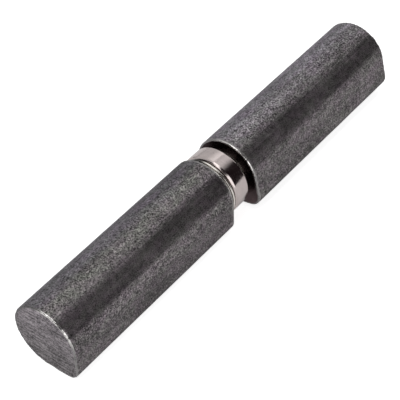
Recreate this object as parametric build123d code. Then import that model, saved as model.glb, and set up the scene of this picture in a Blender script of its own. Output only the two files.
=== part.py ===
from build123d import *
import os
from math import asin, pi, radians, sqrt, tan

# Weld-on barrel hinge with a ball thrust bearing.
#
# Two solid steel knuckles of teardrop section turn on one pin. The pin is pressed into the lower knuckle
# and slides freely in the upper one, so the upper knuckle lifts off. A covered ball thrust bearing stands
# on the lower knuckle, round the pin, and carries the weight of the upper one.
#
# Frame: +X runs along the pin from the lower knuckle to the upper one, and +Z is up. The hinge lies on a
# flank of its lower knuckle, so the weld corner of the teardrop points to -Y and -Z. The origin is on the
# pin axis, halfway along the hinge. The upper knuckle is drawn off the bearing by seat_gap and turned by
# leaf_turn.
#
# Lengths are in millimetres and angles in degrees.

# --- Knuckles: round bar with one corner of its square left on, which is the edge that is welded ---
barrel_radius = 10.0
weld_corner_radius = 3.8
lower_knuckle_length = 65.0
upper_knuckle_length = 65.0
rim_break = 0.3
leaf_turn = -12.0
seat_gap = 2.6

# --- Pin and the two blind bores that hold it ---
pin_radius = 6.0
pin_seat_depth = 40.0
pin_engagement = 35.0
pin_lead = 1.2
press_bite = 0.005
running_clearance = 0.05
bore_end_room = 3.0
bore_mouth_break = 0.5
drill_point_angle = 118.0

# --- Ball complement and the grooves it rolls in ---
ball_radius = 1.25
ball_gap = 0.1
groove_clearance = 0.02
groove_depth = 0.45

# --- Races ---
race_pin_clearance = 0.25
race_land = 0.27
race_round = 0.3
flange_base_thickness = 0.55
flange_waist_width = 0.2
flange_waist_depth = 0.35
flange_rim_thickness = 0.75
flange_step = 0.1
collar_root = 0.35
upper_race_thickness = 1.64

# --- Pressed steel cover that holds the bearing together ---
cover_wall = 0.45
cover_top_round = 0.6
cover_lip_round = 0.9
cover_lip_gap = 0.45
cover_race_clearance = 0.02
cover_collar_clearance = 0.2
cover_eye_step = 0.4
lip_catch = 0.25
lip_neck_clearance = 0.2

# --- Bearing, worked out from the pin outwards ---
groove_radius = ball_radius + groove_clearance
groove_rise = groove_radius - groove_depth
groove_half_width = sqrt(groove_radius**2 - groove_rise**2)
race_bore_radius = pin_radius + race_pin_clearance
pitch_radius = race_bore_radius + race_land + groove_half_width
collar_radius = pitch_radius + groove_half_width + race_land
cover_inner_radius = collar_radius + cover_collar_clearance
cover_radius = cover_inner_radius + cover_wall
upper_race_radius = cover_inner_radius - cover_race_clearance
flange_radius = cover_radius - flange_step
flange_waist_radius = flange_radius - flange_waist_depth
flange_thickness = flange_base_thickness + flange_waist_width + flange_rim_thickness
lip_radius = collar_radius - lip_catch
neck_radius = lip_radius - lip_neck_clearance
ball_count = int(pi / asin((ball_radius + ball_gap / 2) / pitch_radius))

# --- Bearing, stacked up from the lower knuckle's face ---
bearing_height = (
    flange_thickness
    + cover_lip_gap
    + cover_lip_round
    + collar_root
    + groove_depth
    + 2 * groove_rise
    + upper_race_thickness
    + cover_race_clearance
    + cover_wall
)
hinge_length = lower_knuckle_length + bearing_height + seat_gap + upper_knuckle_length
lower_end_x = -hinge_length / 2
lower_face_x = lower_end_x + lower_knuckle_length
flange_waist_x = lower_face_x + flange_base_thickness
flange_rim_x = flange_waist_x + flange_waist_width
flange_top_x = lower_face_x + flange_thickness
cover_bottom_x = flange_top_x + cover_lip_gap
collar_bottom_x = cover_bottom_x + cover_lip_round
collar_top_x = collar_bottom_x + collar_root + groove_depth
ball_x = collar_top_x + groove_rise
upper_race_bottom_x = ball_x + groove_rise
upper_race_top_x = upper_race_bottom_x + upper_race_thickness
cover_top_x = lower_face_x + bearing_height
upper_face_x = cover_top_x + seat_gap
pin_bottom_x = lower_face_x - pin_seat_depth
pin_top_x = cover_top_x + pin_engagement


def turned(*outline):
    """A solid of revolution round the pin axis, from (x, radius) points of its half section."""
    return revolve(make_face(Polyline(*outline, close=True)), Axis.X)


def corner_at(section, x, radius):
    """The vertex of a half section that lies at that x and radius."""
    return section.vertices().sort_by_distance((x, radius, 0))[0]


def block(x_low, x_high, radius_low, radius_high):
    """A rectangle of a half section, between two stations on the axis and two radii."""
    centre = Pos((x_low + x_high) / 2, (radius_low + radius_high) / 2)
    return centre * Rectangle(x_high - x_low, radius_high - radius_low)


def teardrop():
    """The knuckle's section: a circle with its corner at -Y -Z filled in square and rounded."""
    outline = (
        CenterArc((0, 0), barrel_radius, -90, 270),
        Line((-barrel_radius, 0), (-barrel_radius, -barrel_radius)),
        Line((-barrel_radius, -barrel_radius), (0, -barrel_radius)),
    )
    section = make_face(Curve() + list(outline))
    weld_corner = section.vertices().sort_by_distance((-barrel_radius, -barrel_radius, 0))[0]
    return fillet(weld_corner, weld_corner_radius)


def bore(mouth_x, radius, depth, heading):
    """The tool that drills a blind bore from mouth_x along heading, which is +1 or -1."""
    point = radius / tan(radians(drill_point_angle / 2))
    return turned(
        (mouth_x, 0),
        (mouth_x, radius + bore_mouth_break),
        (mouth_x + heading * bore_mouth_break, radius),
        (mouth_x + heading * depth, radius),
        (mouth_x + heading * (depth + point), 0),
    )


def knuckle(start_x, length):
    """A length of teardrop bar along the pin axis, with both rims broken."""
    bar = extrude(Plane.YZ.offset(start_x) * teardrop(), length)
    ends = bar.faces().filter_by(Axis.X)
    return chamfer(ends.edges(), rim_break)


def lower_knuckle():
    """The knuckle that holds the pressed pin."""
    return knuckle(lower_end_x, lower_knuckle_length) - bore(
        lower_face_x, pin_radius - press_bite, pin_seat_depth, -1
    )


def upper_knuckle():
    """The knuckle that lifts off, turned about the pin."""
    depth = pin_engagement + bore_end_room
    drilled = knuckle(upper_face_x, upper_knuckle_length) - bore(
        upper_face_x, pin_radius + running_clearance, depth, 1
    )
    return Rot(X=leaf_turn) * drilled


def hinge_pin():
    """Plain ground pin with a lead chamfer at each end."""
    return turned(
        (pin_bottom_x, 0),
        (pin_bottom_x, pin_radius - pin_lead),
        (pin_bottom_x + pin_lead, pin_radius),
        (pin_top_x - pin_lead, pin_radius),
        (pin_top_x, pin_radius - pin_lead),
        (pin_top_x, 0),
    )


def ball_groove():
    """The ring-shaped tool of the groove that the balls roll in."""
    return revolve(Pos(ball_x, pitch_radius) * Circle(groove_radius), Axis.X)


def lower_race():
    """Waisted flange on the knuckle, a neck inside the cover's lip, and a collar with the ball groove."""
    base = block(lower_face_x, flange_waist_x, race_bore_radius, flange_radius)
    waist = block(lower_face_x, flange_top_x, race_bore_radius, flange_waist_radius)
    rim = block(flange_rim_x, flange_top_x, race_bore_radius, flange_radius)
    rim_edges = [corner_at(rim, x, flange_radius) for x in (flange_rim_x, flange_top_x)]
    rim = fillet(rim_edges, min(race_round, 0.4 * flange_rim_thickness))
    neck = block(lower_face_x, collar_top_x, race_bore_radius, neck_radius)
    collar = block(collar_bottom_x, collar_top_x, race_bore_radius, collar_radius)
    return revolve(base + waist + rim + neck + collar, Axis.X) - ball_groove()


def upper_race():
    """Plain ring with the ball groove, housed in the top of the cover."""
    ring = block(upper_race_bottom_x, upper_race_top_x, race_bore_radius, upper_race_radius)
    rounded = fillet(corner_at(ring, upper_race_top_x, upper_race_radius), race_round)
    return revolve(rounded, Axis.X) - ball_groove()


def bearing_cover():
    """Drawn cup over the upper race, with its lower edge rolled in under the lower race's collar."""
    cup = block(cover_bottom_x, cover_top_x, 0, cover_radius)
    cup = fillet(corner_at(cup, cover_top_x, cover_radius), cover_top_round)
    cup = fillet(corner_at(cup, cover_bottom_x, cover_radius), cover_lip_round)
    cavity_bottom_x = cover_bottom_x + cover_wall
    cavity_top_x = cover_top_x - cover_wall
    cavity = block(cavity_bottom_x, cavity_top_x, 0, cover_inner_radius)
    cavity = fillet(corner_at(cavity, cavity_top_x, cover_inner_radius), cover_top_round - cover_wall)
    cavity = fillet(corner_at(cavity, cavity_bottom_x, cover_inner_radius), cover_lip_round - cover_wall)
    mouth = block(cover_bottom_x, cavity_bottom_x, 0, lip_radius)
    eye = block(cavity_top_x, cover_top_x, 0, race_bore_radius + cover_eye_step)
    return revolve(cup - cavity - mouth - eye, Axis.X)


def balls():
    """The full complement of balls, side by side round the groove."""
    first = Pos(ball_x, pitch_radius, 0) * Sphere(ball_radius)
    return [Rot(X=360 * i / ball_count) * first for i in range(ball_count)]


def main():
    """Writes one STEP file for each piece of the hinge."""
    pieces = {
        "lower_knuckle": lower_knuckle(),
        "upper_knuckle": upper_knuckle(),
        "hinge_pin": hinge_pin(),
        "lower_race": lower_race(),
        "upper_race": upper_race(),
        "bearing_cover": bearing_cover(),
    }
    for number, ball in enumerate(balls(), start=1):
        pieces[f"ball_{number:02d}"] = ball
    os.makedirs("parts", exist_ok=True)
    for name, piece in pieces.items():
        export_step(piece, f"parts/{name}.step")


main()
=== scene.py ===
import logging
from collections.abc import Callable
from dataclasses import dataclass, field
from enum import Enum
from math import acos, cos, hypot, pi, radians, sin, tan
from random import Random

import bmesh
import bpy
from mathutils import Matrix, Vector


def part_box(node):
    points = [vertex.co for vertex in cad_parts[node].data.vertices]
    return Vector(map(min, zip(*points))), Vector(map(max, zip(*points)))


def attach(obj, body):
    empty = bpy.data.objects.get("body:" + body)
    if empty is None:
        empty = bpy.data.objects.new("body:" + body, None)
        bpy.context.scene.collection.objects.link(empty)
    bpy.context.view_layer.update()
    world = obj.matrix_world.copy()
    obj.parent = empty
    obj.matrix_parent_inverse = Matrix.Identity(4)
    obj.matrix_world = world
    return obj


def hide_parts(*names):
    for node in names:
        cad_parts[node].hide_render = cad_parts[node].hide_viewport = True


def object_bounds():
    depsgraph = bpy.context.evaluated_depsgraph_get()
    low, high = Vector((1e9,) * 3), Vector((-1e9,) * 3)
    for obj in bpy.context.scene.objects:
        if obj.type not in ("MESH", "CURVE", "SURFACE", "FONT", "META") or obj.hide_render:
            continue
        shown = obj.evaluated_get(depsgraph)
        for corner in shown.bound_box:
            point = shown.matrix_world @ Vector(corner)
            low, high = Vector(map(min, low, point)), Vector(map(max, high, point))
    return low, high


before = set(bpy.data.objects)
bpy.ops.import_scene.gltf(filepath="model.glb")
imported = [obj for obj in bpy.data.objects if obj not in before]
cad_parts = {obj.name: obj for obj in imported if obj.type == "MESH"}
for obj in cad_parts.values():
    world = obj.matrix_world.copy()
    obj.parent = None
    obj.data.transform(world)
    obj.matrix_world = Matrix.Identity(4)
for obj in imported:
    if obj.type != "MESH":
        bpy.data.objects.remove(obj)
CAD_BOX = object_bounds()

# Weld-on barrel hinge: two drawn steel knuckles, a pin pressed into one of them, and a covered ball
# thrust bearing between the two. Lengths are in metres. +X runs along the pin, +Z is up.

log = logging.getLogger("barrel_hinge")

MM = 0.001
BAR_RADIUS = 10.0 * MM
ON_AXIS = 1e-7  # a radius up to this is 0
TOUCHING = 2e-6  # places closer than this are one place
END_FACING = 0.9  # an end face's normal lies along the pin by more than this
WHOLE_EDGE = 0.9  # an uncut edge is longer than this share of the side it runs along
SMOOTH_ANGLE = 30.0  # faces that meet at less than this, in degrees, are smoothed

Material = bpy.types.Material
Piece = bpy.types.Object
Colour = tuple[float, float, float]
Point = tuple[float, float, float]
Station = tuple[float, float]


class Slot(Enum):
    """The record's material slots."""

    RAW_STEEL = "raw_steel"
    GROUND_STEEL = "ground_steel"
    BEARING_STEEL = "bearing_steel"
    NICKEL_PLATE = "nickel_plate"


class Element(Enum):
    """What is picked on a mesh."""

    VERTEX = "VERT"
    EDGE = "EDGE"
    FACE = "FACE"


class Zone(Enum):
    """The surfaces of a knuckle, each with its own finish."""

    SKIN = 0
    SAWN_END = 1
    RIM = 2
    BORE = 3
    FACED_END = 4


# --- Shader maths ---


class Wire:
    """The output of a shader node, which takes part in sums as a number does."""

    def __init__(self, tree: "ShaderTree", socket: bpy.types.NodeSocket) -> None:
        """Keeps the socket and the tree that it belongs to."""
        self.tree = tree
        self.socket = socket

    def _sum(self, operation: str, first: "Value", second: "Value") -> "Wire":
        """One Math node on two values."""
        return self.tree.node("ShaderNodeMath", {0: first, 1: second}, operation=operation)

    def __add__(self, other: "Value") -> "Wire":
        """This plus the other."""
        return self._sum("ADD", self, other)

    def __radd__(self, other: "Value") -> "Wire":
        """The other plus this."""
        return self._sum("ADD", other, self)

    def __sub__(self, other: "Value") -> "Wire":
        """This less the other."""
        return self._sum("SUBTRACT", self, other)

    def __rsub__(self, other: "Value") -> "Wire":
        """The other less this."""
        return self._sum("SUBTRACT", other, self)

    def __mul__(self, other: "Value") -> "Wire":
        """This times the other."""
        return self._sum("MULTIPLY", self, other)

    def __rmul__(self, other: "Value") -> "Wire":
        """The other times this."""
        return self._sum("MULTIPLY", other, self)

    def __pow__(self, other: "Value") -> "Wire":
        """This to the power of the other."""
        return self._sum("POWER", self, other)


Value = Wire | float | tuple[float, ...]
Inputs = dict[str | int, Value]


class ShaderTree:
    """The node tree of one material, lamp or world."""

    def __init__(self, owner: Material | bpy.types.Light | bpy.types.World) -> None:
        """Empties the owner's node tree.

        Args:
            owner: What the tree shades.
        """
        owner.use_nodes = True
        self.owner, self.graph = owner, owner.node_tree
        self.graph.nodes.clear()

    def node(self, kind: str, inputs: Inputs, output: int | str = 0, **settings: object) -> Wire:
        """Adds any node.

        Args:
            kind: The node's type.
            inputs: Sockets by name or number, with the wire or the constant that each gets.
            output: The number or the name of the output that is used.
            **settings: The node's own settings, which are set before its sockets.

        Returns:
            The wire of that output.
        """
        made = self.graph.nodes.new(kind)
        for name, value in settings.items():
            setattr(made, name, value)
        for key, value in inputs.items():
            if isinstance(value, Wire):
                self.graph.links.new(value.socket, made.inputs[key])
            else:
                made.inputs[key].default_value = value
        return Wire(self, made.outputs[output])

    def close(self, kind: str, surface: Wire) -> None:
        """Ends the tree in an output node of the given type."""
        out = self.graph.nodes.new(kind)
        self.graph.links.new(surface.socket, out.inputs["Surface"])

    def place(self, stretch: Point = (1.0, 1.0, 1.0), tilt: float = 0.0) -> Wire:
        """Object coordinates, scaled so that a pattern on them is drawn out along an axis.

        Args:
            stretch: The scale along each axis; a small one draws the pattern out.
            tilt: A turn about the pin axis, in degrees, before the scale.

        Returns:
            The coordinates.
        """
        here = self.node("ShaderNodeTexCoord", {}, output=3)
        if tilt:
            turn = {"Vector": here, "Angle": radians(tilt)}
            here = self.node("ShaderNodeVectorRotate", turn, rotation_type="X_AXIS")
        return self.node("ShaderNodeVectorMath", {0: here, 1: stretch}, operation="MULTIPLY")

    def along(self, direction: Point) -> Wire:
        """How far a place lies along a direction from the origin."""
        inputs = {0: self.place(), 1: direction}
        return self.node("ShaderNodeVectorMath", inputs, "Value", operation="DOT_PRODUCT")

    def behind(self) -> Wire:
        """How far a place lies behind the pin axis, in bar radii."""
        return self.along((0.0, 1.0 / BAR_RADIUS, 0.0))

    def above(self) -> Wire:
        """How far a place lies above the pin axis, in bar radii."""
        return self.along((0.0, 0.0, 1.0 / BAR_RADIUS))

    def off_middle(self) -> Wire:
        """How far a place lies from the middle of the hinge, along the pin."""
        return self.node("ShaderNodeMath", {0: self.along((1.0, 0.0, 0.0))}, operation="ABSOLUTE")

    def off_axis(self) -> Wire:
        """How far a place lies from the pin axis."""
        inputs = {0: self.place((0.0, 1.0, 1.0))}
        return self.node("ShaderNodeVectorMath", inputs, "Value", operation="LENGTH")

    def noise(self, place: Wire, size: float, detail: float = 2.0, roughness: float = 0.55) -> Wire:
        """Fractal noise from 0 to 1, of one grain size and with finer layers down to its detail."""
        inputs = {"Vector": place, "Scale": 1.0 / size, "Detail": detail, "Roughness": roughness}
        return self.node("ShaderNodeTexNoise", inputs)

    def grain(self, place: Wire, size: float, detail: float = 2.0, roughness: float = 0.55) -> Wire:
        """The same noise from -0.5 to 0.5."""
        return self.noise(place, size, detail, roughness) - 0.5

    def cells(self, place: Wire, size: float) -> Wire:
        """Distance to the nearest of scattered points, from 0 on a point to about 1."""
        return self.node("ShaderNodeTexVoronoi", {"Vector": place, "Scale": 1.0 / size})

    def ramp(self, value: Wire, low: float, high: float, start: float = 0.0, end: float = 1.0) -> Wire:
        """Smooth step of a value: it gives start up to low, and end from high on."""
        inputs = {0: value, 1: low, 2: high, 3: start, 4: end}
        return self.node("ShaderNodeMapRange", inputs, interpolation_type="SMOOTHSTEP")

    def blend(self, share: Value, first: Wire | Colour, second: Wire | Colour) -> Wire:
        """A colour between two others, by share."""
        return self._mix(share, first, second, "MIX")

    def tinted(self, colour: Wire | Colour, tint: Wire | Colour) -> Wire:
        """A colour under a tint."""
        return self._mix(1.0, colour, tint, "MULTIPLY")

    def shaded(self, colour: Wire | Colour, level: Wire) -> Wire:
        """A colour times a level."""
        return self.tinted(colour, self.node("ShaderNodeCombineColor", {0: level, 1: level, 2: level}))

    def _mix(self, share: Value, first: Wire | Colour, second: Wire | Colour, how: str) -> Wire:
        """One Mix node on two colours."""
        one, two = (colour if isinstance(colour, Wire) else (*colour, 1.0) for colour in (first, second))
        return self.node("ShaderNodeMix", {0: share, 6: one, 7: two}, 2, data_type="RGBA", blend_type=how)

    def bump(self, height: Wire, depth: float, under: Wire | None = None) -> Wire:
        """Relief.

        Args:
            height: The height from 0 to 1.
            depth: The depth that a height of 1 stands for.
            under: Another relief that this one lies on.

        Returns:
            The normal.
        """
        inputs: Inputs = {"Height": height, "Distance": depth, "Strength": 1.0}
        if under is not None:
            inputs["Normal"] = under
        return self.node("ShaderNodeBump", inputs)

    def metal(
        self, colour: Value, roughness: Value, metallic: Value, normal: Wire | None, glance: float = 1.0
    ) -> Material:
        """Closes the tree with a metal surface.

        Args:
            colour: The base colour.
            roughness: The roughness.
            metallic: How much of it is bare metal.
            normal: The relief.
            glance: How bright it is at a glancing angle.

        Returns:
            The material.
        """
        inputs: Inputs = {"Base Color": colour, "Roughness": roughness, "Metallic": metallic}
        inputs["Specular Tint"] = (glance, glance, glance, 1.0)
        if normal is not None:
            inputs["Normal"] = normal
        self.close("ShaderNodeOutputMaterial", self.node("ShaderNodeBsdfPrincipled", inputs))
        return self.owner


# --- Finishes ---


@dataclass(frozen=True)
class DrawnSteel:
    """Raw drawn bar: dark and finely pitted, streaked along its length, bare close to its ends, and with
    painted light and shade by side.
    """

    name: str
    # Painted light and shade: the level and tint of the grey on the crown, behind it and in front.
    crown: Colour = (0.67, 0.663, 0.635)
    back: Colour = (0.75, 0.728, 0.79)
    front: Colour = (0.755, 0.716, 0.728)
    grey: Colour = (0.216, 0.211, 0.213)
    bare: Colour = (0.5, 0.49, 0.48)
    green_stain: Colour = (0.98, 1.022, 0.965)
    purple_stain: Colour = (1.045, 0.972, 1.04)
    contrast: float = 1.7
    roughness: float = 0.33
    glance: float = 0.4
    speckle_size: float = 0.42 * MM
    speckle_share: float = 3.8
    blotch_size: float = 1.68 * MM
    blotch_share: float = 1.0
    mottle_size: float = 7.0 * MM
    mottle_share: float = 1.1
    streak_size: float = 1.1 * MM
    streak_share: float = 0.8
    streak_depth: float = 0.1 * MM
    pit_spacing: float = 1.4 * MM
    stain_size: float = 2.4 * MM
    relief_size: float = 0.8 * MM
    relief_depth: float = 0.03 * MM
    mouth_x: float = 5.0 * MM
    sawn_x: float = 70.0 * MM
    wear_width: float = 0.9 * MM
    wear_size: float = 1.8 * MM

    def make(self) -> Material:
        """Builds the material.

        Returns:
            The material.
        """
        tree = ShaderTree(bpy.data.materials.new(self.name))
        here = tree.place()
        speckle = tree.grain(here, self.speckle_size, 2.0, 0.6)
        blotch = tree.grain(here, self.blotch_size)
        mottle = tree.grain(tree.place((0.3, 1.0, 1.0)), self.mottle_size, 3.0)
        streak = tree.grain(tree.place((0.02, 1.0, 1.0)), self.streak_size, 3.0, 0.65)
        pits = tree.ramp(tree.cells(here, self.pit_spacing), 0.08, 0.24)
        level = 1.0 + speckle * self.speckle_share + blotch * self.blotch_share
        level = level + mottle * self.mottle_share + streak * self.streak_share
        level = tree.ramp(level, -0.5, 2.7, 0.15, 2.15) ** self.contrast * (0.85 + 0.15 * pits)
        # The grey with painted light and shade by side.
        colour = tree.shaded(self._painted_side_light(tree, mottle), level)
        colour = tree.blend(self._wear(tree) * 0.5, colour, self.bare)
        roughness = self.roughness + mottle * 0.2 - speckle * 0.5
        normal = tree.bump(tree.noise(here, self.relief_size, 1.0), self.relief_depth)
        normal = tree.bump(streak + mottle, self.streak_depth, normal)
        metallic = tree.ramp(speckle, -0.2, 0.2, 0.45, 1.0)
        return tree.metal(colour, roughness, metallic, normal, self.glance)

    def _painted_side_light(self, tree: ShaderTree, patches: Wire) -> Wire:
        """Paints light and shade by side: the grey gets its own level and tint on the crown, behind it
        and in front, yellowish on the crown, bluish behind, brownish in front.

        Args:
            tree: The material's tree.
            patches: A noise that makes the limits of the three uneven.

        Returns:
            The colour.
        """
        side = tree.behind() + patches * 0.8
        crown, back, front = (self._tinted(cast) for cast in (self.crown, self.back, self.front))
        colour = tree.blend(tree.ramp(side, -0.1, 0.3), crown, back)
        colour = tree.blend(tree.ramp(side, -0.2, -0.45), colour, front)
        stain = tree.ramp(tree.noise(tree.place((0.45, 1.0, 1.0)), self.stain_size, 4.0, 0.7), 0.35, 0.65)
        return tree.tinted(colour, tree.blend(stain, self.green_stain, self.purple_stain))

    def _wear(self, tree: ShaderTree) -> Wire:
        """Finds where the skin is rubbed bare, beside the rims at both ends of either bar.

        Args:
            tree: The material's tree.

        Returns:
            The share of bare metal.
        """
        x = tree.off_middle()
        ragged = tree.noise(tree.place(), self.wear_size) * self.wear_width
        mouth_end = self.mouth_x + 0.6 * self.wear_width
        sawn_start, sawn_end = self.sawn_x - 0.1 * self.wear_width, self.sawn_x + 0.4 * self.wear_width
        near_mouth = tree.ramp(x - ragged, self.mouth_x, mouth_end, 1.0, 0.0)
        return near_mouth + tree.ramp(x + ragged, sawn_start, sawn_end)

    def _tinted(self, cast: Colour) -> Colour:
        """The grey under one side's painted light level and tint."""
        return tuple(grey * share for grey, share in zip(self.grey, cast))


@dataclass(frozen=True)
class SawnSteel:
    """A saw-cut end: close straight lines across it, with dark specks, a faint purple cast, and painted
    light that makes its top lighter.
    """

    name: str = "sawn_steel_end"
    # Painted light: the grey at the bottom of the end and the lighter grey at its top.
    low: Colour = (0.222, 0.207, 0.213)
    high: Colour = (0.288, 0.262, 0.279)
    roughness: float = 0.45
    glance: float = 0.7
    pitch: float = 0.36 * MM
    line_share: float = 3.6
    line_depth: float = 0.08 * MM
    tilt: float = 1.0
    speck_size: float = 0.55 * MM
    speck_share: float = 4.8
    speck_depth: float = 0.06 * MM
    mottle_size: float = 3.5 * MM
    mottle_share: float = 1.8

    def make(self) -> Material:
        """Builds the material.

        Returns:
            The material.
        """
        tree = ShaderTree(bpy.data.materials.new(self.name))
        lines = tree.grain(tree.place((1.0, 0.11, 1.0), self.tilt), self.pitch, 2.0, 0.6)
        specks = tree.grain(tree.place(), self.speck_size, 3.0, 0.7)
        mottle = tree.grain(tree.place((1.0, 0.5, 1.0)), self.mottle_size, 3.0)
        # Painted light: the end is lighter towards its top.
        height = tree.ramp(tree.above(), -0.9, 0.9)
        level = 1.0 + lines * self.line_share + specks * self.speck_share + mottle * self.mottle_share
        grey = tree.blend(height, self.low, self.high)
        colour = tree.shaded(grey, tree.ramp(level, -0.5, 2.7, 0.1, 2.2))
        relief = tree.bump(lines, self.line_depth)
        relief = tree.bump(specks, self.speck_depth, relief)
        return tree.metal(colour, self.roughness + mottle * 0.2, 0.9, relief, self.glance)


@dataclass(frozen=True)
class FacedSteel:
    """An end turned flat round its bore: smooth and finely ringed, and painted dark as shade of the
    narrow gap it faces, darker still on its upper half.
    """

    name: str = "faced_steel_end"
    # Painted shade: the face is kept dark for the narrow gap beside the bearing that it faces.
    grey: Colour = (0.06, 0.044, 0.046)
    roughness: float = 0.25
    glance: float = 0.7
    feed: float = 0.25 * MM
    ring_share: float = 0.5
    ring_depth: float = 0.01 * MM
    film_size: float = 2.5 * MM
    film_share: float = 0.7

    def make(self) -> Material:
        """Builds the material.

        Returns:
            The material.
        """
        tree = ShaderTree(bpy.data.materials.new(self.name))
        rings = tree.grain(tree.node("ShaderNodeCombineXYZ", {0: tree.off_axis()}), self.feed)
        film = tree.grain(tree.place(), self.film_size, 3.0)
        # Painted shade: darker towards the top of the face.
        painted_top_shade = tree.ramp(tree.above(), -0.8, 0.3, 2.2, 0.6)
        level = 1.0 + rings * self.ring_share + film * self.film_share
        colour = tree.shaded(self.grey, level * painted_top_shade)
        relief = tree.bump(rings, self.ring_depth)
        return tree.metal(colour, self.roughness + film * 0.2, 1.0, relief, self.glance)


@dataclass(frozen=True)
class BareEdgeAndHighlight:
    """The rim of an end: torn bare metal in patches, with painted highlight: brightest on top, dimmer
    below and behind, and dimmer still behind at the sawn end.
    """

    name: str = "bare_steel_edge_and_highlight"
    bright: Colour = (0.86, 0.84, 0.82)
    dark: Colour = (0.13, 0.125, 0.128)
    roughness: float = 0.25
    tear_size: float = 0.9 * MM
    relief_size: float = 0.5 * MM
    relief_depth: float = 0.06 * MM
    sawn_x: float = 69.0 * MM

    def make(self) -> Material:
        """Builds the material.

        Returns:
            The material.
        """
        tree = ShaderTree(bpy.data.materials.new(self.name))
        here = tree.place()
        torn = tree.ramp(tree.noise(here, self.tear_size, 3.0, 0.65), 0.3, 0.52)
        behind = tree.behind()
        # Painted highlight: the torn metal is kept bright on top and dimmed below and behind.
        torn = torn * tree.ramp(behind, 0.1, 0.5, 1.0, 0.2) * tree.ramp(tree.above(), 0.1, 0.7, 0.25, 1.0)
        # Painted highlight: at the sawn end it is dimmed more behind.
        sawn = tree.ramp(tree.off_middle(), 0.8 * self.sawn_x, self.sawn_x)
        torn = torn * (1.0 - sawn * tree.ramp(behind, 0.0, 0.2, 0.0, 0.9))
        relief = tree.bump(tree.noise(here, self.relief_size), self.relief_depth)
        return tree.metal(tree.blend(torn, self.dark, self.bright), self.roughness, 1.0, relief)


@dataclass(frozen=True)
class NickelPlate:
    """Bright nickel over pressed steel, with polishing lines round it and faint handling marks."""

    name: str = "nickel_plate"
    silver: Colour = (0.61, 0.54, 0.525)
    roughness: float = 0.16
    line_pitch: float = 0.22 * MM
    line_share: float = 0.12
    line_depth: float = 0.006 * MM
    smudge_size: float = 2.2 * MM
    smudge_share: float = 0.25
    smudge_depth: float = 0.02 * MM
    speck_spacing: float = 1.9 * MM

    def make(self) -> Material:
        """Builds the material.

        Returns:
            The material.
        """
        tree = ShaderTree(bpy.data.materials.new(self.name))
        lines = tree.grain(tree.place((1.0, 0.03, 0.03)), self.line_pitch)
        smudge = tree.grain(tree.place(), self.smudge_size, 3.0, 0.6)
        specks = tree.ramp(tree.cells(tree.place(), self.speck_spacing), 0.05, 0.12)
        level = 1.0 + smudge * self.smudge_share + lines * self.line_share
        level = level * (0.8 + 0.2 * specks)
        relief = tree.bump(lines, self.line_depth)
        relief = tree.bump(smudge, self.smudge_depth, relief)
        return tree.metal(tree.shaded(self.silver, level), self.roughness + smudge * 0.12, 1.0, relief)


@dataclass(frozen=True)
class TurnedSteel:
    """Turned, ground or drilled steel: fine rings round its axis, and a thin film of oil."""

    name: str
    steel: Colour = (0.56, 0.53, 0.5)
    roughness: float = 0.24
    ring_pitch: float = 0.12 * MM
    ring_depth: float = 0.008 * MM
    ring_stretch: float = 0.02
    ring_share: float = 0.3
    film_size: float = 3.0 * MM
    film_detail: float = 3.0
    film_share: float = 0.3
    film_dulling: float = 0.2
    # Painted shade, where a radius is given: darker inside it and behind the crown.
    painted_shade_within: float = 0.0
    painted_shade_behind: float = 0.198
    painted_shade_edge: float = 0.2 * MM

    def make(self) -> Material:
        """Builds the material.

        Returns:
            The material.
        """
        tree = ShaderTree(bpy.data.materials.new(self.name))
        rings = tree.grain(tree.place((1.0, self.ring_stretch, self.ring_stretch)), self.ring_pitch)
        film = tree.grain(tree.place(), self.film_size, self.film_detail)
        level = 1.0 + rings * self.ring_share + film * self.film_share
        if self.painted_shade_within:
            level = level * self._painted_shade(tree)
        roughness = self.roughness + film * self.film_dulling
        relief = tree.bump(rings, self.ring_depth)
        return tree.metal(tree.shaded(self.steel, level), roughness, 1.0, relief)

    def _painted_shade(self, tree: ShaderTree) -> Wire:
        """Paints shade on the steel: darker inside a radius, as in a recess, and behind the crown.

        Args:
            tree: The material's tree.

        Returns:
            The level of the steel, from 0 to 1.
        """
        lit_from = self.painted_shade_within + self.painted_shade_edge
        groove = tree.ramp(tree.off_axis(), self.painted_shade_within, lit_from, 0.5, 1.0)
        return groove * tree.ramp(tree.behind(), 0.0, self.painted_shade_behind, 1.0, 0.1)


@dataclass(frozen=True)
class PolishedBall:
    """Lapped ball steel: bright, with a trace of grease that dulls it in patches."""

    name: str = "polished_ball_steel"
    steel: Colour = (0.62, 0.6, 0.58)
    roughness: float = 0.08
    film_size: float = 0.9 * MM
    film_share: float = 0.4

    def make(self) -> Material:
        """Builds the material.

        Returns:
            The material.
        """
        tree = ShaderTree(bpy.data.materials.new(self.name))
        film = tree.grain(tree.place(), self.film_size, 3.0)
        colour = tree.shaded(self.steel, 1.0 + film * self.film_share)
        return tree.metal(colour, self.roughness + film * 0.2, 1.0, None)


# --- The bench ---


def off_axis(point: Vector) -> float:
    """How far a point lies from the pin axis."""
    return hypot(point.y, point.z)


def all_at(x: float, *points: Vector) -> bool:
    """Whether all the points lie at one station along the pin."""
    return all(abs(point.x - x) < TOUCHING for point in points)


def looks_along(normal: Vector) -> bool:
    """Whether a face looks along the pin, as an end does."""
    return abs(normal.x) > END_FACING


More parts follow.
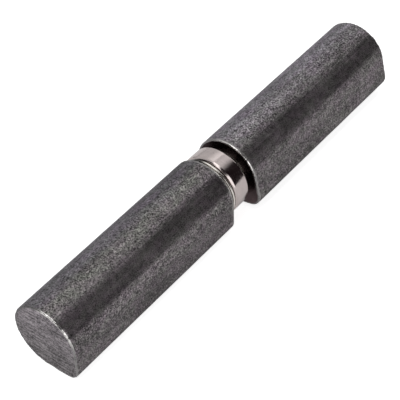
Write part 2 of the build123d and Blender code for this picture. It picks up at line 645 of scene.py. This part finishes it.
class Workpiece:
    """A mesh on the bench, at the origin, shaped in edit mode with parts of it picked by place."""

    def __init__(self, name: str) -> None:
        """Puts an empty mesh on the bench.

        Args:
            name: The finished piece's name.
        """
        bpy.ops.object.select_all(action="DESELECT")
        bpy.ops.object.add(type="MESH", location=(0.0, 0.0, 0.0))
        self.obj = bpy.context.active_object
        self.obj.name = self.obj.data.name = name
        bpy.ops.object.mode_set(mode="EDIT")

    def pick(self, kind: Element, wanted: Callable[..., bool]) -> None:
        """Selects what is wanted and nothing else.

        Args:
            kind: Vertices, edges or faces.
            wanted: A test of a vertex's place, an edge's two places, or a face's centre and normal.
        """
        bpy.ops.mesh.select_mode(type=kind.value)
        bpy.ops.mesh.select_all(action="DESELECT")
        mesh = bmesh.from_edit_mesh(self.obj.data)
        if kind is Element.VERTEX:
            chosen = [v for v in mesh.verts if not v.hide and wanted(v.co)]
        elif kind is Element.EDGE:
            chosen = [e for e in mesh.edges if not e.hide and wanted(e.verts[0].co, e.verts[1].co)]
        else:
            chosen = [f for f in mesh.faces if not f.hide and wanted(f.calc_center_median(), f.normal)]
        for element in chosen:
            element.select_set(True)
        mesh.select_flush_mode()
        bmesh.update_edit_mesh(self.obj.data)

    def weld(self) -> None:
        """Merges vertices that lie on each other."""
        bpy.ops.mesh.select_all(action="SELECT")
        bpy.ops.mesh.remove_doubles(threshold=TOUCHING)

    def pick_ring(self, x: float, radius: float) -> None:
        """Selects the edges that run round the pin axis at one station.

        Args:
            x: Their place along the pin.
            radius: Their radius.
        """

        def on_ring(point: Vector) -> bool:
            """Whether a point lies on the ring."""
            return all_at(x, point) and abs(off_axis(point) - radius) < TOUCHING

        self.pick(Element.EDGE, lambda a, b: on_ring(a) and on_ring(b))

    def add_ring(self, x: float, radius: float, sides: int) -> None:
        """Adds a ring of edges round the pin axis."""
        place, turn = (x, 0.0, 0.0), (0.0, pi / 2, 0.0)
        bpy.ops.mesh.primitive_circle_add(vertices=sides, radius=radius, location=place, rotation=turn)

    def extrude(self, step: float) -> None:
        """Extrudes the selected edges along the pin."""
        bpy.ops.mesh.extrude_edges_move(TRANSFORM_OT_translate={"value": (step, 0.0, 0.0)})

    def widen(self, scale: float) -> None:
        """Scales what is selected about the pin axis."""
        bpy.ops.transform.resize(value=(1.0, scale, scale), center_override=(0.0, 0.0, 0.0))

    def turn_profile(self, stations: list[Station], sides: int, closed: bool) -> None:
        """Draws a turned surface by extruding one ring from station to station along the pin axis.

        Args:
            stations: The (x, radius) of each ring; a radius of 0 closes the surface on the axis.
            sides: How many sides each ring has.
            closed: Whether the last ring is joined to the first.
        """
        x, radius = stations[0]
        start_radius = max(radius, TOUCHING * 10)
        self.add_ring(x, start_radius, sides)
        if radius <= ON_AXIS:
            bpy.ops.mesh.edge_face_add()
            bpy.ops.mesh.poke()
            self.pick(Element.EDGE, lambda a, b: min(off_axis(a), off_axis(b)) > TOUCHING)
        at_x, at_radius = x, start_radius
        for x, radius in stations[1:] + (stations[:1] if closed else []):
            self.extrude(x - at_x)
            if radius <= ON_AXIS:
                bpy.ops.mesh.merge(type="CENTER")
                break
            self.widen(radius / at_radius)
            at_x, at_radius = x, radius

    def round_ring(self, x: float, radius: float, width: float, segments: int) -> None:
        """Rounds the edge that runs round the pin axis at one station."""
        self.pick_ring(x, radius)
        bpy.ops.mesh.bevel(offset=width, offset_type="OFFSET", segments=segments, affect="EDGES")

    def face_outwards(self) -> None:
        """Merges what lies together and turns every face outwards."""
        self.weld()
        bpy.ops.mesh.select_all(action="SELECT")
        bpy.ops.mesh.normals_make_consistent(inside=False)

    def modify(self, kind: str, **settings: object) -> None:
        """Adds one modifier and applies it.

        Args:
            kind: The modifier's type.
            **settings: Its settings.
        """
        modifier = self.obj.modifiers.new(kind.lower(), kind)
        for name, value in settings.items():
            setattr(modifier, name, value)
        bpy.ops.object.modifier_apply(modifier=modifier.name)

    def off_bench(self) -> Piece:
        """Leaves edit mode and smooths what meets at a small angle.

        Returns:
            The piece.
        """
        if bpy.context.mode == "EDIT_MESH":
            bpy.ops.object.mode_set(mode="OBJECT")
        bpy.ops.object.shade_smooth_by_angle(angle=radians(SMOOTH_ANGLE))
        bpy.ops.object.select_all(action="DESELECT")
        return self.obj


def hand_in(piece: Piece, body: str, node: str) -> None:
    """Sets a piece on its body in place of a node, and logs it with its size.

    Args:
        piece: The finished piece.
        body: The body it rides on.
        node: The node it stands for.
    """
    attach(piece, body)
    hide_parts(node)
    size = ", ".join(f"{side / MM:.2f}" for side in piece.dimensions)
    log.info("%s: %d faces, %s mm", piece.name, len(piece.data.polygons), size)


# --- Sub-assemblies ---


@dataclass
class Knuckle:
    """One knuckle: drawn teardrop bar, sawn to length, with a blind bore in its inner end."""

    node: str
    body: str
    bore_radius: float
    bore_depth: float
    mouth_heading: int
    turn: float = 0.0
    weld_corner_radius: float = 3.8 * MM
    rim_break: float = 0.3 * MM
    rim_segments: int = 3
    lip_width: float = 0.25 * MM
    mouth_break: float = 0.5 * MM
    drill_point_angle: float = 118.0
    arc_segments: int = 48
    corner_segments: int = 14
    flank_cuts: int = 7
    length_cuts: int = 110
    bore_sides: int = 96
    saw_pitch: float = 0.34 * MM
    pitch_spread: float = 0.3
    saw_overrun: float = 1.1
    saw_ridge: float = 0.012 * MM
    saw_tilt: float = 4.0
    torn_share: float = 0.7
    burr: float = 0.07 * MM
    waviness: float = 0.05 * MM
    wave_length: float = 6 * MM
    seed: int = 1
    bar: Workpiece = field(init=False)

    def __post_init__(self) -> None:
        """Reads the bar's stations from the frame."""
        low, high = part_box("lower_knuckle")
        self.radius = (high.z - low.z) / 2
        low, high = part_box(self.node)
        self.low_x, self.high_x = low.x, high.x
        self.mouth_x = self.high_x if self.mouth_heading > 0 else self.low_x
        self.sawn_x = self.low_x if self.mouth_heading > 0 else self.high_x
        self.random = Random(self.seed)

    def build(self) -> Piece:
        """Models the knuckle.

        Returns:
            The piece, at rest in its place.
        """
        self.bar = Workpiece(f"{self.node}_bar")
        self._draw_section()
        self._draw_out()
        self._break_rims()
        self._saw()
        self._drill()
        self._cut_lengthwise()
        self.bar.face_outwards()
        self._zone()
        self._roughen()
        self._swing()
        return self.bar.off_bench()

    def _draw_section(self) -> None:
        """Draws the teardrop: a square with three corners fully rounded and the weld corner a little."""
        side = 2 * self.radius
        place, turn = (self.low_x, 0.0, 0.0), (0.0, pi / 2, 0.0)
        bpy.ops.mesh.primitive_plane_add(size=side, location=place, rotation=turn)
        self.bar.pick(Element.VERTEX, lambda v: v.y > 0 or v.z > 0)
        rounding = {"offset_type": "OFFSET", "affect": "VERTICES", "clamp_overlap": False}
        bpy.ops.mesh.bevel(offset=self.radius, segments=self.arc_segments, **rounding)
        corner = -self.radius + TOUCHING
        self.bar.pick(Element.VERTEX, lambda v: v.y < corner and v.z < corner)
        bpy.ops.mesh.bevel(offset=self.weld_corner_radius, segments=self.corner_segments, **rounding)
        self.bar.weld()
        flank = (self.radius - self.weld_corner_radius) * WHOLE_EDGE
        self.bar.pick(Element.EDGE, lambda a, b: (a - b).length > flank)
        bpy.ops.mesh.subdivide(number_cuts=self.flank_cuts)
        bpy.ops.mesh.select_mode(type=Element.FACE.value)
        bpy.ops.mesh.select_all(action="SELECT")
        bpy.ops.mesh.dissolve_faces()

    def _draw_out(self) -> None:
        """Draws the section out to the bar's length."""
        bpy.ops.mesh.select_all(action="SELECT")
        length = (self.high_x - self.low_x, 0.0, 0.0)
        bpy.ops.mesh.extrude_region_move(TRANSFORM_OT_translate={"value": length})

    def _break_rims(self) -> None:
        """Breaks the rim at both ends, and marks off a lip inside it."""
        ends = (self.low_x, self.high_x)
        self.bar.pick(Element.EDGE, lambda a, b: any(all_at(x, a, b) for x in ends))
        segments = self.rim_segments
        bpy.ops.mesh.bevel(offset=self.rim_break, offset_type="OFFSET", segments=segments, affect="EDGES")
        self.bar.pick(Element.FACE, lambda c, n: looks_along(n) and any(all_at(x, c) for x in ends))
        bpy.ops.mesh.inset(thickness=self.lip_width, use_even_offset=True)
        bpy.ops.mesh.hide(unselected=True)

    def _saw(self) -> None:
        """Cuts the sawn end into strips and lifts every other line, as the saw's teeth leave it."""
        tilt = radians(self.saw_tilt)
        across = Vector((0.0, sin(tilt), cos(tilt)))
        reach = (self.radius - self.rim_break) * self.saw_overrun
        height = -reach
        lines = []
        while height < reach:
            lines.append(height)
            height += self.saw_pitch * self.random.uniform(1 - self.pitch_spread, 1 + self.pitch_spread)
        end = Vector((self.sawn_x, 0.0, 0.0))
        for height in lines:
            self.bar.pick(Element.FACE, lambda c, n: looks_along(n) and all_at(self.sawn_x, c))
            bpy.ops.mesh.bisect(plane_co=across * height + end, plane_no=across)
        raised = lines[::2]

        def on_raised(point: Vector) -> bool:
            """Whether a point lies on a raised line."""
            height = point.dot(across)
            return all_at(self.sawn_x, point) and min(abs(height - h) for h in raised) < TOUCHING

        self.bar.pick(Element.VERTEX, on_raised)
        inward = self.saw_ridge if self.sawn_x < 0 else -self.saw_ridge
        bpy.ops.transform.translate(value=(inward, 0.0, 0.0))

    def _drill(self) -> None:
        """Opens the inner end and draws the bore's mouth, wall and point into the bar."""
        self.bar.pick(Element.FACE, lambda c, n: looks_along(n) and all_at(self.mouth_x, c))
        bpy.ops.mesh.delete(type="ONLY_FACE")
        mouth_radius = self.bore_radius + self.mouth_break
        self.bar.add_ring(self.mouth_x, mouth_radius, self.bore_sides)
        self.bar.pick(Element.EDGE, lambda a, b: all_at(self.mouth_x, a, b))
        bpy.ops.mesh.fill(use_beauty=True)
        bpy.ops.mesh.reveal(select=False)
        self.bar.pick_ring(self.mouth_x, mouth_radius)
        inward = -self.mouth_heading
        self.bar.extrude(inward * self.mouth_break)
        self.bar.widen(self.bore_radius / mouth_radius)
        self.bar.extrude(inward * (self.bore_depth - self.mouth_break))
        self.bar.extrude(inward * self.bore_radius / tan(radians(self.drill_point_angle / 2)))
        bpy.ops.mesh.merge(type="CENTER")

    def _cut_lengthwise(self) -> None:
        """Divides the skin into short lengths, so that it can be made a little uneven."""
        long = (self.high_x - self.low_x) * WHOLE_EDGE
        skin = self.bore_radius + self.mouth_break

        def runs_along(a: Vector, b: Vector) -> bool:
            """Whether an edge runs along the skin from end to end."""
            return abs(a.x - b.x) > long and off_axis(a) > skin

        self.bar.pick(Element.EDGE, runs_along)
        bpy.ops.mesh.subdivide(number_cuts=self.length_cuts)

    def _zone(self) -> None:
        """Gives each surface the material slot of its finish."""
        for _ in Zone:
            self.bar.obj.data.materials.append(None)
        rim_depth = self.rim_break + self.lip_width - TOUCHING
        bored = self.bore_radius + self.mouth_break + TOUCHING

        def near_end(c: Vector) -> bool:
            """Whether a place is within a rim's width of either end."""
            return min(abs(c.x - self.low_x), abs(c.x - self.high_x)) < self.rim_break

        def at_mouth(c: Vector) -> bool:
            """Whether a place is within a rim's width of the bore's mouth."""
            return (self.mouth_x - c.x) * self.mouth_heading < self.rim_break

        tests = {
            Zone.SAWN_END: lambda c, n: looks_along(n) and near_end(c) and not at_mouth(c),
            Zone.FACED_END: lambda c, n: looks_along(n) and at_mouth(c),
            Zone.RIM: lambda c, n: near_end(c) and self._depth(c) < rim_depth,
            Zone.BORE: lambda c, n: not looks_along(n) and off_axis(c) < bored,
        }
        for zone, test in tests.items():
            self.bar.pick(Element.FACE, test)
            self.bar.obj.active_material_index = zone.value
            bpy.ops.object.material_slot_assign()

    def _depth(self, c: Vector) -> float:
        """Measures how deep a place lies under the bar's skin, across the bar.

        Args:
            c: The place.

        Returns:
            The depth.
        """
        if c.y >= 0 or c.z >= 0:
            return self.radius - off_axis(c)
        core = self.radius - self.weld_corner_radius
        past_y, past_z = max(-c.y - core, 0.0), max(-c.z - core, 0.0)
        if past_y and past_z:
            return self.weld_corner_radius - hypot(past_y, past_z)
        return self.radius + min(c.y, c.z)

    def _roughen(self) -> None:
        """Tears the sawn rim a little, and makes the drawn skin slightly uneven."""
        torn = self.rim_break * self.torn_share

        def on_torn_rim(v: Vector) -> bool:
            """Whether a vertex lies on the part of the sawn rim that is torn."""
            return abs(v.x - self.sawn_x) < torn and self._depth(v) < self.rim_break

        self.bar.pick(Element.VERTEX, on_torn_rim)
        bpy.ops.transform.vertex_random(offset=self.burr, uniform=0.3, normal=0.7, seed=self.seed)
        skin = self.bar.obj.vertex_groups.new(name="skin")
        clear = self.rim_break + TOUCHING
        low, high = self.low_x + clear, self.high_x - clear
        self.bar.pick(Element.VERTEX, lambda v: low < v.x < high and self._depth(v) < TOUCHING)
        bpy.ops.object.vertex_group_assign()
        bpy.ops.object.mode_set(mode="OBJECT")
        clouds = bpy.data.textures.new("bar_waviness", "CLOUDS")
        clouds.noise_scale = self.wave_length
        clouds.noise_depth = 2
        waves = {"texture": clouds, "strength": self.waviness, "mid_level": 0.5}
        self.bar.modify("DISPLACE", vertex_group=skin.name, **waves)
        bpy.ops.object.mode_set(mode="EDIT")

    def _swing(self) -> None:
        """Turns the bar about the pin axis to where it hangs at rest."""
        if self.turn:
            turn, centre = radians(-self.turn), (0.0, 0.0, 0.0)
            bpy.ops.mesh.select_all(action="SELECT")
            bpy.ops.transform.rotate(value=turn, orient_axis="X", center_override=centre)

    def dress(self, piece: Piece, finishes: dict[Zone, Material]) -> None:
        """Gives the knuckle its finishes and sets it on its body.

        Args:
            piece: The modelled knuckle.
            finishes: The material of each zone.
        """
        for zone, material in finishes.items():
            piece.data.materials[zone.value] = material
        hand_in(piece, self.body, self.node)


@dataclass
class ThrustBearing:
    """The covered bearing between the knuckles: pressed cover, lower race, upper race and balls."""

    wall: float = 0.45 * MM
    top_round: float = 0.45 * MM
    lip_round: float = 0.9 * MM
    eye_radius: float = 6.65 * MM
    lip_radius: float = 8.46 * MM
    bore_radius: float = 6.25 * MM
    neck_radius: float = 8.26 * MM
    collar_radius: float = 8.71 * MM
    flange_thickness: float = 1.5 * MM
    base_thickness: float = 0.52 * MM
    waist_width: float = 0.34 * MM
    waist_depth: float = 0.45 * MM
    race_round: float = 0.22 * MM
    collar_height: float = 0.8 * MM
    groove_radius: float = 1.27 * MM
    groove_steps: int = 8
    sides: int = 192
    round_segments: int = 6
    edge_break: float = 0.08 * MM
    edge_segments: int = 2
    sharp_angle: float = 60.0

    def build_cover(self) -> Piece:
        """Presses the cover: a sheet wall with its top turned in to the eye and its lip rolled under.

        Returns:
            The cover.
        """
        low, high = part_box("bearing_cover")
        half = self.wall / 2
        middle = high.z - half
        top, bottom = high.x - half, low.x + half
        cover = Workpiece("bearing_cover_shell")
        stations = [(top, self.eye_radius), (top, middle), (bottom, middle), (bottom, self.lip_radius)]
        cover.turn_profile(stations, self.sides, closed=False)
        cover.round_ring(top, middle, self.top_round - half, self.round_segments)
        cover.round_ring(bottom, middle, self.lip_round - half, self.round_segments)
        cover.face_outwards()
        bpy.ops.object.mode_set(mode="OBJECT")
        cover.modify("SOLIDIFY", thickness=self.wall, offset=0.0, use_even_offset=True)
        sharp = {"limit_method": "ANGLE", "angle_limit": radians(self.sharp_angle)}
        cover.modify("BEVEL", width=self.edge_break, segments=self.edge_segments, **sharp)
        return cover.off_bench()

    def build_lower_race(self) -> Piece:
        """Turns the lower race: a flange, a neck, and a collar with the ball groove in its top.

        Returns:
            The race.
        """
        low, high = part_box("lower_race")
        ball_low, ball_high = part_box("ball_01")
        ball_x = (ball_low.x + ball_high.x) / 2
        pitch = hypot(ball_low.y + ball_high.y, ball_low.z + ball_high.z) / 2
        flange_top, collar_bottom = low.x + self.flange_thickness, high.x - self.collar_height
        half_angle = acos((ball_x - high.x) / self.groove_radius)
        groove = []
        for step in range(self.groove_steps + 1):
            angle = half_angle * (1 - 2 * step / self.groove_steps)
            x, radius = ball_x - self.groove_radius * cos(angle), pitch + self.groove_radius * sin(angle)
            groove.append((x, radius))
        waist_low = low.x + self.base_thickness
        waist_high = waist_low + self.waist_width
        waist = high.z - self.waist_depth
        stations = [
            (low.x, self.bore_radius),
            (low.x, high.z),
            (waist_low, high.z),
            (waist_low, waist),
            (waist_high, waist),
            (waist_high, high.z),
            (flange_top, high.z),
            (flange_top, self.neck_radius),
            (collar_bottom, self.neck_radius),
            (collar_bottom, self.collar_radius),
            (high.x, self.collar_radius),
            *groove,
            (high.x, self.bore_radius),
        ]
        race = Workpiece("lower_race_ring")
        race.turn_profile(stations, self.sides, closed=True)
        race.face_outwards()
        race.round_ring(flange_top, high.z, self.race_round, self.round_segments)
        race.round_ring(waist_high, high.z, self.race_round / 2, self.round_segments)
        for x, radius in ((waist_low, high.z), (low.x, high.z), (high.x, self.collar_radius)):
            race.round_ring(x, radius, self.edge_break, self.edge_segments)
        return race.off_bench()

    def dress(
        self,
        cover: Piece,
        race: Piece,
        plate: Material,
        steel: Material,
        ball_steel: Material,
    ) -> None:
        """Gives each piece of the bearing its finish, and sets the cover and the lower race on their
        bodies.

        Args:
            cover: The pressed cover.
            race: The lower race.
            plate: The cover's finish.
            steel: The races' finish.
            ball_steel: The balls' finish.
        """
        cover.data.materials.append(plate)
        race.data.materials.append(steel)
        hand_in(cover, "bearing_cap", "bearing_cover")
        hand_in(race, "lower_leaf", "lower_race")
        repaint(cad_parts["upper_race"], steel)
        for name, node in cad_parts.items():
            if name.startswith("ball_"):
                repaint(node, ball_steel)


@dataclass
class HingePin:
    """The ground pin that is pressed into the lower knuckle."""

    lead: float = 1.2 * MM
    sides: int = 128

    def build(self) -> Piece:
        """Grinds the pin, with a lead at each end.

        Returns:
            The pin.
        """
        low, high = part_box("hinge_pin")
        radius = high.z
        pin = Workpiece("hinge_pin_ground")
        stations = [
            (low.x, 0.0),
            (low.x, radius - self.lead),
            (low.x + self.lead, radius),
            (high.x - self.lead, radius),
            (high.x, radius - self.lead),
            (high.x, 0.0),
        ]
        pin.turn_profile(stations, self.sides, closed=False)
        pin.face_outwards()
        return pin.off_bench()

    def dress(self, pin: Piece, steel: Material) -> None:
        """Gives the pin its finish and sets it on the lower knuckle's body."""
        pin.data.materials.append(steel)
        hand_in(pin, "lower_leaf", "hinge_pin")


def repaint(node: Piece, material: Material) -> None:
    """Gives a node of the frame its finish.

    Args:
        node: The node.
        material: Its finish.
    """
    node.data.materials.clear()
    node.data.materials.append(material)
    log.info("%s: finished in %s", node.name, material.name)


# --- Studio ---


@dataclass(frozen=True)
class Lamp:
    """A soft lamp that fades towards two of its edges, as a softbox does."""

    name: str
    place: Point
    aim_x: float
    size: tuple[float, float]
    radiance: float
    fade: tuple[float, float] = (0.02, 0.02)

    def hang(self) -> None:
        """Hangs the lamp, its first side along the hinge and its face towards its aim on the pin axis."""
        outward = (Vector(self.place) - Vector((self.aim_x, 0.0, 0.0))).normalized()
        along = (Vector((1.0, 0.0, 0.0)) - outward * outward.x).normalized()
        axes = Matrix((along, outward.cross(along), outward)).transposed()
        light = bpy.data.lights.new(self.name, "AREA")
        light.shape = "RECTANGLE"
        light.size, light.size_y = self.size
        light.energy = self.radiance * pi * self.size[0] * self.size[1]
        self._soften(ShaderTree(light))
        lamp = bpy.data.objects.new(self.name, light)
        bpy.context.scene.collection.objects.link(lamp)
        lamp.matrix_world = Matrix.Translation(self.place) @ axes.to_4x4()
        lamp.visible_camera = False

    def _soften(self, tree: ShaderTree) -> None:
        """Lets the radiance fall off towards the top and bottom edges.

        Args:
            tree: The lamp's tree.
        """
        across = tree.node("ShaderNodeNewGeometry", {}, "Parametric")
        height = tree.node("ShaderNodeSeparateXYZ", {0: across}, "Y")
        top, bottom = self.fade
        level = tree.ramp(height, 0.0, bottom) * tree.ramp(height, 1.0 - top, 1.0, 1.0, 0.0)
        tree.close("ShaderNodeOutputLight", tree.node("ShaderNodeEmission", {"Strength": level}))


@dataclass(frozen=True)
class Studio:
    """A white table in a dark room, with soft lamps and a camera."""

    target: Point = (-8.7 * MM, -1.2 * MM, 0.0)
    azimuth: float = -51.13
    elevation: float = 44.24
    roll: float = -2.0
    distance: float = 375.6 * MM
    lens: float = 125.0
    floor_size: float = 6.0
    paper: Colour = (0.8, 0.8, 0.8)
    glow: float = 0.8
    sheen: float = 0.21
    room: Colour = (0.012, 0.008, 0.009)
    lamps: tuple[Lamp, ...] = (
        Lamp("overhead", (1.35, 0.235, 1.48), 1.35, size=(1.7, 2.6), radiance=0.78, fade=(0.62, 0.38)),
        Lamp("backdrop", (0.5, 1.34, 0.68), 0.5, size=(3.4, 3.3), radiance=0.6, fade=(0.44, 0.05)),
        Lamp("near_top", (-1.6, 0.05, 1.5), -1.6, size=(4.2, 0.86), radiance=1.75, fade=(0.2, 0.2)),
        Lamp("near_front", (-1.4, -1.39, 0.53), -1.4, size=(3.4, 1.56), radiance=1.5, fade=(0.25, 0.15)),
        Lamp("far_end", (1.8, -0.25, 0.75), 0.0, size=(0.6, 0.6), radiance=1.6),
    )

    @property
    def back(self) -> Vector:
        """The direction from the hinge to the camera."""
        turn, rise = radians(self.azimuth), radians(self.elevation)
        return Vector((sin(turn) * cos(rise), -cos(turn) * cos(rise), sin(rise)))

    def set_camera(self) -> None:
        """Places the camera at the view that the hinge is shown from."""
        axes = self.back.to_track_quat("Z", "Y").to_matrix().to_4x4()
        data = bpy.data.cameras.new("camera")
        data.lens = self.lens
        data.clip_start = 10 * MM
        camera = bpy.data.objects.new("camera", data)
        bpy.context.scene.collection.objects.link(camera)
        place = Matrix.Translation(Vector(self.target) + self.back * self.distance)
        camera.matrix_world = place @ axes @ Matrix.Rotation(radians(self.roll), 4, "Z")
        bpy.context.scene.camera = camera

    def lay_floor(self) -> None:
        """Lays the white table under the hinge."""
        bpy.ops.object.select_all(action="DESELECT")
        bpy.ops.mesh.primitive_plane_add(size=self.floor_size, location=(0.0, 0.0, CAD_BOX[0].z))
        floor = bpy.context.active_object
        floor.name = "table_top"
        tree = ShaderTree(bpy.data.materials.new("table_paper"))
        seen = tree.node("ShaderNodeLightPath", {}, "Is Camera Ray")
        mirrored = tree.node("ShaderNodeLightPath", {}, "Is Glossy Ray")
        paper = tree.node("ShaderNodeBsdfDiffuse", {"Color": (*self.paper, 1.0)})
        light = tree.node("ShaderNodeEmission", {"Strength": seen * self.glow + mirrored * self.sheen})
        tree.close("ShaderNodeOutputMaterial", tree.node("ShaderNodeAddShader", {0: paper, 1: light}))
        floor.data.materials.append(tree.owner)

    def darken_room(self) -> None:
        """Makes the world a dark room that the camera sees as white."""
        bpy.context.scene.world = bpy.data.worlds.new("room")
        tree = ShaderTree(bpy.context.scene.world)
        seen = tree.node("ShaderNodeLightPath", {}, "Is Camera Ray")
        dark = tree.node("ShaderNodeBackground", {"Color": (*self.room, 1.0)})
        white = tree.node("ShaderNodeBackground", {"Color": (1.0, 1.0, 1.0, 1.0)})
        mixed = tree.node("ShaderNodeMixShader", {0: seen, 1: dark, 2: white})
        tree.close("ShaderNodeOutputWorld", mixed)

    def set_up(self) -> None:
        """Sets up the whole studio."""
        bpy.context.scene.view_settings.view_transform = "Standard"
        self.set_camera()
        self.lay_floor()
        self.darken_room()
        for lamp in self.lamps:
            lamp.hang()
        log.info("studio: %d lamps", len(self.lamps))


def main() -> None:
    """Builds the hinge from its sub-assemblies, then sets up the studio."""
    logging.basicConfig(level=logging.INFO, format="%(name)s: %(message)s")
    bore_steel = TurnedSteel(
        "drilled_steel_bore",
        steel=(0.36, 0.35, 0.345),
        roughness=0.38,
        ring_pitch=0.25 * MM,
        ring_depth=0.03 * MM,
        ring_stretch=0.04,
        ring_share=0.8,
        film_size=2.5 * MM,
        film_detail=2.0,
        film_share=0.6,
        film_dulling=0.3,
    )
    cut_steel = {
        Zone.SAWN_END: SawnSteel().make(),
        Zone.RIM: BareEdgeAndHighlight().make(),
        Zone.BORE: bore_steel.make(),
        Zone.FACED_END: FacedSteel().make(),
    }
    lower = Knuckle("lower_knuckle", "lower_leaf", 5.995 * MM, 40 * MM, mouth_heading=1, seed=3)
    upper = Knuckle(
        "upper_knuckle", "upper_leaf", 6.05 * MM, 38 * MM, mouth_heading=-1, turn=-12.0, seed=8
    )
    lower_skin = DrawnSteel("drawn_steel_lower_bar")
    # The upper bar's painted side light: lighter behind, darker in front.
    upper_skin = DrawnSteel(
        "drawn_steel_upper_bar",
        crown=(0.93, 0.895, 0.935),
        back=(1.2, 1.165, 1.27),
        front=(0.71, 0.675, 0.685),
        roughness=0.35,
    )
    for knuckle, skin in ((lower, lower_skin), (upper, upper_skin)):
        knuckle.dress(knuckle.build(), {Zone.SKIN: skin.make()} | cut_steel)
    pin = HingePin()
    pin.dress(pin.build(), TurnedSteel("ground_pin_steel").make())
    bearing = ThrustBearing()
    cover, race = bearing.build_cover(), bearing.build_lower_race()
    # The race steel gets painted shade inside a radius of 9 mm and behind the crown.
    race_steel = TurnedSteel(
        "turned_race_steel",
        steel=(0.86, 0.82, 0.77),
        roughness=0.21,
        ring_pitch=0.1 * MM,
        painted_shade_within=9.0 * MM,
    )
    bearing.dress(cover, race, NickelPlate().make(), race_steel.make(), PolishedBall().make())
    Studio().set_up()


if __name__ == "__main__":
    main()
